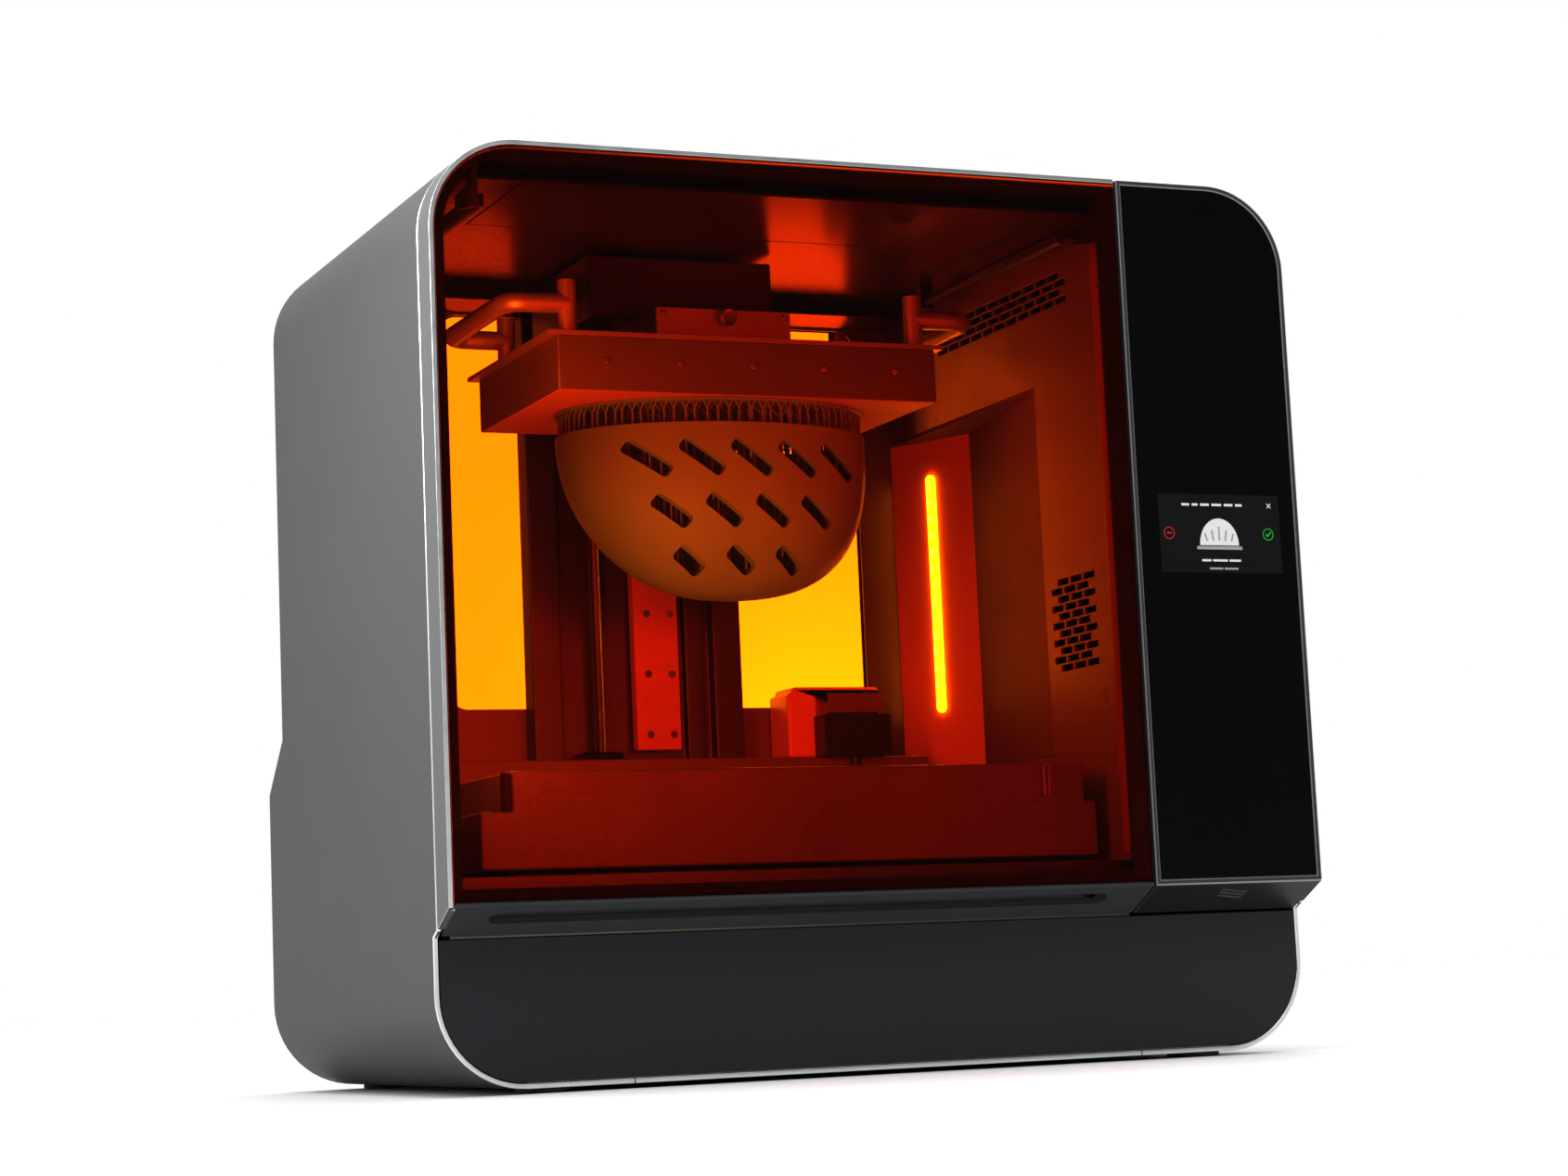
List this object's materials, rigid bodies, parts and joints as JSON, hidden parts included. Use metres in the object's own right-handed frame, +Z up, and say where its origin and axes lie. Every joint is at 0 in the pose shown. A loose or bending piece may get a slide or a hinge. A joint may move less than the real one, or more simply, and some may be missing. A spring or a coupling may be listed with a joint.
{
  "type": "resin printer",
  "caption": "Desktop resin printer: rounded shell, amber window cover hinged at its top edge, screen column, platform lift, resin tank, light unit and rear cartridges.",
  "frame": {"origin": "middle of the footprint on the table", "axes": "+X to the machine's right seen from its front, +Y to its back, +Z up"},
  "size_m": [0.77, 0.52, 0.74],
  "materials": {
    "shell": "sheet with a satin powder coat",
    "steel_sheet": "zinc-plated sheet",
    "rubber_black": "matt",
    "panel_dark": "satin charcoal",
    "rear_metal": "sheet with a fine-texture dark coat",
    "tinted_window": "clear amber",
    "liner": "sheet with a satin coat",
    "lamp": "lit diffuser",
    "anodised": "dark anodised",
    "bright_steel": "ground",
    "black_plastic": "matt moulded",
    "grey_plastic": "matt moulded",
    "board": "solder mask",
    "column_plastic": "satin dark grey",
    "black_glass": "gloss black back-printed",
    "screen": "lit display",
    "bronze": "machined",
    "cast_alloy": "blasted casting",
    "platform_alloy": "machined and anodised",
    "printed_resin": "cured resin, satin",
    "tank_plastic": "moulded, smoke tint",
    "film": "clear flexible film",
    "cover_metal": "satin with a bright edge",
    "cover_tint": "clear orange acrylic",
    "border": "back-printed border",
    "strip": "satin dark grey",
    "cartridge": "blow-moulded"
  },
  "bodies": {
    "frame": {"outer_shell": "shell", "base_pan": "steel_sheet", "levelling_feet": "rubber_black", "front_lower_panel": "panel_dark", "rear_panel": "rear_metal", "rear_ledge": "rear_metal", "rear_window": "tinted_window", "back_liner": "liner", "left_liner": "liner", "right_liner": "liner", "ceiling_liner": "liner", "floor_liner": "liner", "lamp_housing": "liner", "lamp_strip": "lamp", "rear_deck": "liner", "z_tower": "anodised", "z_rail": "bright_steel", "screw_bearings": "anodised", "z_motor": "black_plastic", "dispenser": "grey_plastic", "dispenser_nozzle": "black_plastic", "cartridge_bays": "grey_plastic", "power_supply": "steel_sheet", "mainboard": "board", "power_inlet": "black_plastic", "fan_frame": "black_plastic", "column_frame": "column_plastic", "column_glass": "black_glass", "touch_screen": "screen", "light_unit_rails": "bright_steel", "light_unit_motor": "black_plastic", "hinge_brackets": "bright_steel", "hinge_pins": "bright_steel", "strut_rods": "bright_steel", "liner_screws": "bright_steel"},
    "lift": {"z_carriage": "anodised", "lead_nut": "bronze", "platform_carrier": "anodised", "latch_plate": "cast_alloy", "stage_screws": "bright_steel", "build_platform": "platform_alloy", "platform_top": "cast_alloy", "sample_print": "printed_resin"},
    "lift_screw": {"z_leadscrew": "bright_steel"},
    "lock": {"lock_knob": "bright_steel"},
    "tank": {"resin_tank": "tank_plastic", "tank_film": "film"},
    "mixer": {"tank_mixer": "black_plastic"},
    "light_unit": {"light_unit": "anodised"},
    "fan": {"fan_rotor": "black_plastic"},
    "switch": {"power_switch": "black_plastic"},
    "left_cartridge": {"cartridge_left": "cartridge"},
    "right_cartridge": {"cartridge_right": "cartridge"},
    "cover": {"cover_frame": "cover_metal", "cover_window": "cover_tint", "cover_border": "border", "handle_strip": "strip", "cover_seal": "rubber_black", "cover_arms": "bright_steel"},
    "struts": {"strut_cylinders": "anodised"}
  },
  "joints": [
    {"name": "cover_hinge", "type": "hinge", "parent": "frame", "child": "cover", "pos_m": [0, -0.229, 0.7365], "axis": [1, 0, 0], "range_deg": [-90, 0]},
    {"name": "strut_slide", "type": "slide", "parent": "frame", "child": "struts", "axis": [0, 1, 0], "range_m": [-0.0588, 0]},
    {"name": "lift", "type": "slide", "parent": "frame", "child": "lift", "axis": [0, 0, 1], "range_m": [-0.379, 0], "deforming": ["sample_print"]},
    {"name": "lift_screw_turn", "type": "hinge", "parent": "frame", "child": "lift_screw", "pos_m": [-0.098, 0.174, 0.45], "axis": [0, 0, 1], "continuous": true},
    {"name": "platform_lock", "type": "slide", "parent": "lift", "child": "lock", "axis": [0, 1, 0], "range_m": [0, 0.004], "stiffness_N_per_m": 800, "springref_m": -0.002},
    {"name": "tank_slide", "type": "slide", "parent": "frame", "child": "tank", "axis": [0, -1, 0], "range_m": [0, 0.02]},
    {"name": "mixer_sweep", "type": "slide", "parent": "tank", "child": "mixer", "axis": [1, 0, 0], "range_m": [0, 0.46]},
    {"name": "light_unit_sweep", "type": "slide", "parent": "frame", "child": "light_unit", "axis": [1, 0, 0], "range_m": [0, 0.36]},
    {"name": "fan_spin", "type": "hinge", "parent": "frame", "child": "fan", "pos_m": [0, 0.248, 0.13], "axis": [0, 1, 0], "continuous": true},
    {"name": "power_rocker", "type": "hinge", "parent": "frame", "child": "switch", "pos_m": [0.312, 0.254, 0.074], "axis": [1, 0, 0], "range_deg": [0, 8]},
    {"name": "left_cartridge_lift", "type": "slide", "parent": "frame", "child": "left_cartridge", "axis": [0, 0, 1], "range_m": [0, 0.13]},
    {"name": "right_cartridge_lift", "type": "slide", "parent": "frame", "child": "right_cartridge", "axis": [0, 0, 1], "range_m": [0, 0.13]}
  ],
  "couplings": [
    {"joint": "strut_slide", "follows": "cover_hinge", "m_per_rad": 0.037433},
    {"joint": "lift_screw_turn", "follows": "lift", "rad_per_m": 785.4}
  ]
}
